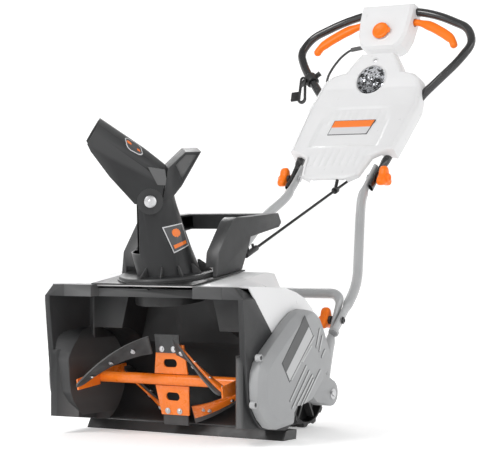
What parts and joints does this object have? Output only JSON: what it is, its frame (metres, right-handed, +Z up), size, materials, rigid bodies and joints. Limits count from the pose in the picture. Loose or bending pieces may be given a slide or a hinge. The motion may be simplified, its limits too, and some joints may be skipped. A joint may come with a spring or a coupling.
{
  "type": "single stage snowblower",
  "caption": "Electric single stage snowblower: rubber-edged auger in a plastic scoop, turning chute with deflector, folding handle with console, levers and headlight.",
  "frame": {"origin": "centre of the scraper plate's flat sole, on the ground in the middle of the machine", "axes": "+Z up, +Y back towards the handle, +X towards the side with the deeper belt cover"},
  "size_m": [0.5768, 1.2784, 1.0666],
  "materials": {
    "black": "moulded black plastic",
    "charcoal": "fine-grained moulded plastic",
    "chrome": "bright reflector",
    "gloss_black": "gloss black powder coat",
    "grey": "satin moulded plastic",
    "lens": "clear plastic lens",
    "orange": "semi-gloss moulded plastic",
    "orange_steel": "gloss powder coat",
    "rubber": "moulded rubber",
    "steel": "zinc-plated steel",
    "tube": "light grey powder coat",
    "white": "smooth semi-gloss moulded plastic"
  },
  "bodies": {
    "chassis": {"scoop_side_right": "charcoal", "scoop_side_left": "charcoal", "scoop_drum": "charcoal", "scraper_bar": "black", "chute_base_plate": "black", "carry_handle": "charcoal", "motor_cover": "white", "belt_cover": "grey", "left_side_cover": "grey", "drive_motor": "steel", "drive_belt": "rubber", "auger_bearing_right": "steel", "auger_bearing_left": "steel", "axle": "steel", "wheel_bracket_right": "grey", "wheel_bracket_left": "grey", "u_frame": "tube"},
    "auger": {"auger_shaft": "orange_steel", "auger_pulley": "black", "auger_plate_upper": "orange_steel", "auger_plate_lower": "orange_steel", "auger_edge_upper": "rubber", "auger_edge_lower": "rubber", "auger_arm_upper_left": "orange_steel", "auger_arm_upper_right": "orange_steel", "auger_arm_lower_left": "orange_steel", "auger_arm_lower_right": "orange_steel", "auger_paddle_upper_left": "rubber", "auger_paddle_upper_right": "rubber", "auger_paddle_lower_left": "rubber", "auger_paddle_lower_right": "rubber"},
    "motor_pulley": {"motor_pulley": "steel"},
    "wheel_right": {"wheel_right": "black"},
    "wheel_left": {"wheel_left": "black"},
    "chute": {"chute": "charcoal", "deflector_bolt": "steel"},
    "deflector": {"chute_deflector": "charcoal"},
    "chute_worm": {"chute_worm": "black", "crank_coupling": "black"},
    "lower_handle": {"lower_handle_right": "tube", "lower_handle_left": "tube"},
    "lower_knob_right": {"lower_knob_right": "orange"},
    "lower_knob_left": {"lower_knob_left": "orange"},
    "upper_handle": {"upper_handle": "gloss_black", "console_shield": "white", "headlight_reflector": "chrome", "headlight_lens": "lens", "switch_box_front": "white", "switch_box_rear": "white", "cord_hook_clamp": "black", "control_cable": "rubber", "rod_bracket": "black"},
    "upper_knob_right": {"upper_knob_right": "orange"},
    "upper_knob_left": {"upper_knob_left": "orange"},
    "start_button": {"start_button": "orange"},
    "lever_right": {"lever_right": "orange"},
    "lever_left": {"lever_left": "orange"},
    "cord_hook": {"cord_hook": "black"},
    "crank": {"crank_rod": "black"},
    "crank_grip": {"crank_grip": "black"}
  },
  "joints": [
    {"name": "auger_spin", "type": "hinge", "parent": "chassis", "child": "auger", "pos_m": [0, -0.067, 0.125], "axis": [1, 0, 0], "continuous": true},
    {"name": "motor_spin", "type": "hinge", "parent": "chassis", "child": "motor_pulley", "pos_m": [0.281, 0.031, 0.247], "axis": [1, 0, 0], "continuous": true},
    {"name": "wheel_right_spin", "type": "hinge", "parent": "chassis", "child": "wheel_right", "pos_m": [0.143, 0.238, 0.084], "axis": [1, 0, 0], "continuous": true},
    {"name": "wheel_left_spin", "type": "hinge", "parent": "chassis", "child": "wheel_left", "pos_m": [-0.143, 0.238, 0.084], "axis": [1, 0, 0], "continuous": true},
    {"name": "chute_turn", "type": "hinge", "parent": "chassis", "child": "chute", "pos_m": [0, -0.077, 0.35696], "axis": [0, -0.1392, 0.9903], "range_deg": [-38, 142]},
    {"name": "deflector_tilt", "type": "hinge", "parent": "chute", "child": "deflector", "pos_m": [-0.02522, -0.121, 0.5285], "axis": [0.6157, -0.7803, -0.1097], "range_deg": [0, 35]},
    {"name": "worm_spin", "type": "hinge", "parent": "chassis", "child": "chute_worm", "pos_m": [0.05, 0.165, 0.4015], "axis": [0.0421, 0.9848, 0.1683], "range_deg": [-516, 1764]},
    {"name": "lower_fold", "type": "hinge", "parent": "chassis", "child": "lower_handle", "pos_m": [0, 0.33, 0.2465], "axis": [1, 0, 0], "range_deg": [-60, 0]},
    {"name": "lower_knob_right_turn", "type": "hinge", "parent": "lower_handle", "child": "lower_knob_right", "pos_m": [0.168, 0.33, 0.2465], "axis": [1, 0, 0], "range_deg": [0, 1080]},
    {"name": "lower_knob_left_turn", "type": "hinge", "parent": "lower_handle", "child": "lower_knob_left", "pos_m": [-0.168, 0.33, 0.2465], "axis": [-1, 0, 0], "range_deg": [0, 1080]},
    {"name": "upper_fold", "type": "hinge", "parent": "lower_handle", "child": "upper_handle", "pos_m": [0, 0.662, 0.5915], "axis": [1, 0, 0], "range_deg": [-130, 0]},
    {"name": "upper_knob_right_turn", "type": "hinge", "parent": "upper_handle", "child": "upper_knob_right", "pos_m": [0.146, 0.662, 0.5915], "axis": [1, 0, 0], "range_deg": [0, 1080]},
    {"name": "upper_knob_left_turn", "type": "hinge", "parent": "upper_handle", "child": "upper_knob_left", "pos_m": [-0.146, 0.662, 0.5915], "axis": [-1, 0, 0], "range_deg": [0, 1080]},
    {"name": "start_button_press", "type": "slide", "parent": "upper_handle", "child": "start_button", "axis": [0, 0.9171, -0.3987], "range_m": [0, 0.003], "stiffness_N_per_m": 300, "springref_m": -0.002},
    {"name": "lever_right_squeeze", "type": "hinge", "parent": "upper_handle", "child": "lever_right", "pos_m": [0.062, 0.96664, 1.01601], "axis": [0, -0.9171, 0.3987], "range_deg": [0, 8], "stiffness_Nm_per_rad": 1.2, "springref_deg": -5.73},
    {"name": "lever_left_squeeze", "type": "hinge", "parent": "upper_handle", "child": "lever_left", "pos_m": [-0.062, 0.96664, 1.01601], "axis": [0, 0.9171, -0.3987], "range_deg": [0, 8], "stiffness_Nm_per_rad": 1.2, "springref_deg": -5.73},
    {"name": "cord_hook_swing", "type": "hinge", "parent": "upper_handle", "child": "cord_hook", "pos_m": [-0.21531, 0.87825, 0.86532], "axis": [0, -0.9171, 0.3987], "range_deg": [-35, 35]},
    {"name": "crank_spin", "type": "hinge", "parent": "upper_handle", "child": "crank", "pos_m": [0.03, 0.751, 0.6105], "axis": [-0.0321, 0.9414, 0.3357], "range_deg": [-516, 1764]},
    {"name": "crank_grip_spin", "type": "hinge", "parent": "crank", "child": "crank_grip", "pos_m": [0.03013, 0.73213, 0.65152], "axis": [-0.0321, 0.9414, 0.3357], "continuous": true}
  ],
  "couplings": [
    {"joint": "motor_spin", "follows": "auger_spin", "ratio": 4.115},
    {"joint": "worm_spin", "follows": "chute_turn", "ratio": 12},
    {"joint": "crank_spin", "follows": "chute_turn", "ratio": 12}
  ]
}
